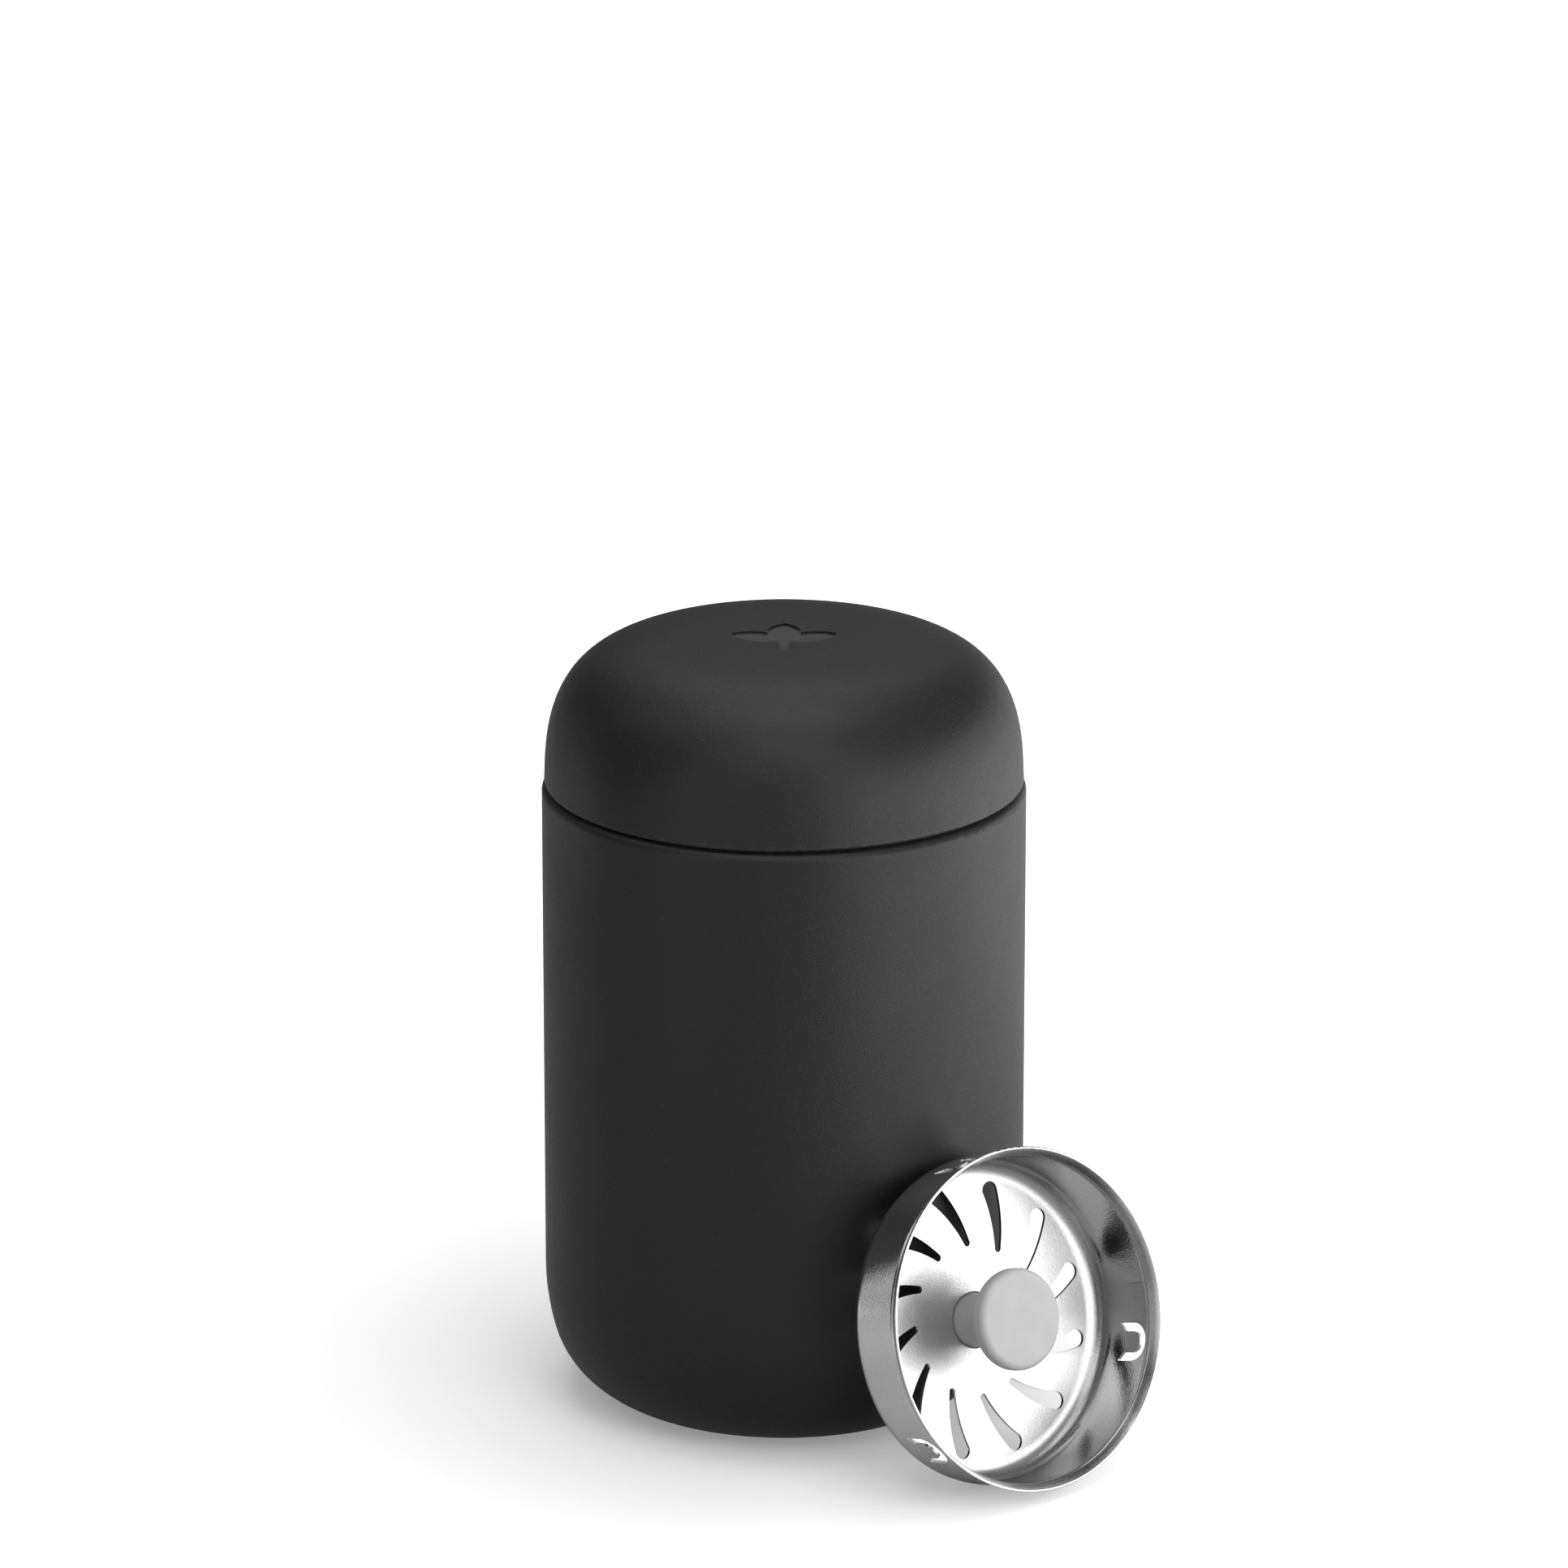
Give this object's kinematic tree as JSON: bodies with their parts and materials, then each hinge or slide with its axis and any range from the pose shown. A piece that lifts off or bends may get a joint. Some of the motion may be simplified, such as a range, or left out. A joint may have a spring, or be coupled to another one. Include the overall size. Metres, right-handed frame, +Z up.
{
  "type": "travel mug",
  "caption": "Round-bottomed vacuum-insulated travel mug with a screw-on domed lid, and its loose slotted strainer with a pull knob.",
  "frame": {"origin": "middle of the mug's foot, on the surface it stands on", "axes": "+Z up along the mug's axis; -Y is the front, where the camera stood; +X to the right of it, and the strainer leans on the mug at the front right"},
  "size_m": [0.0997, 0.1024, 0.1278],
  "materials": {
    "powder_coat": "matte powder coat, fine grain",
    "lid_shell": "matte, fine grain, the same tone as the body",
    "bare_steel": "satin",
    "polished_steel": "polished",
    "copper": "plain",
    "glass_bead": "fused",
    "getter_alloy": "sintered",
    "black_silicone": "matte",
    "grey_silicone": "soft matte",
    "cap_plastic": "satin",
    "foam": "foam"
  },
  "bodies": {
    "mug": {"outer_shell": "powder_coat", "base_cap": "bare_steel", "seal_bead": "glass_bead", "base_pad": "black_silicone", "inner_liner": "bare_steel", "copper_foil": "copper", "getter": "getter_alloy", "getter_clip": "bare_steel"},
    "seal": {"lid_gasket": "grey_silicone"},
    "lid": {"lid_cover": "lid_shell", "lid_liner": "cap_plastic", "lid_foam": "foam"},
    "guard": {"guard_cup": "polished_steel", "guard_knob": "grey_silicone"}
  },
  "joints": [
    {"name": "lid_rise", "type": "slide", "parent": "mug", "child": "seal", "axis": [0, 0, 1], "range_m": [0, 0.024]},
    {"name": "lid_turn", "type": "hinge", "parent": "seal", "child": "lid", "pos_m": [0, 0, 0.11], "axis": [0, 0, 1], "range_deg": [0, 1080]},
    {"name": "guard_lift", "type": "slide", "parent": "mug", "child": "guard", "axis": [0, 0, 1], "range_m": [0, 0.15]}
  ],
  "couplings": [
    {"joint": "lid_rise", "follows": "lid_turn", "m_per_rad": 0.0012732}
  ]
}
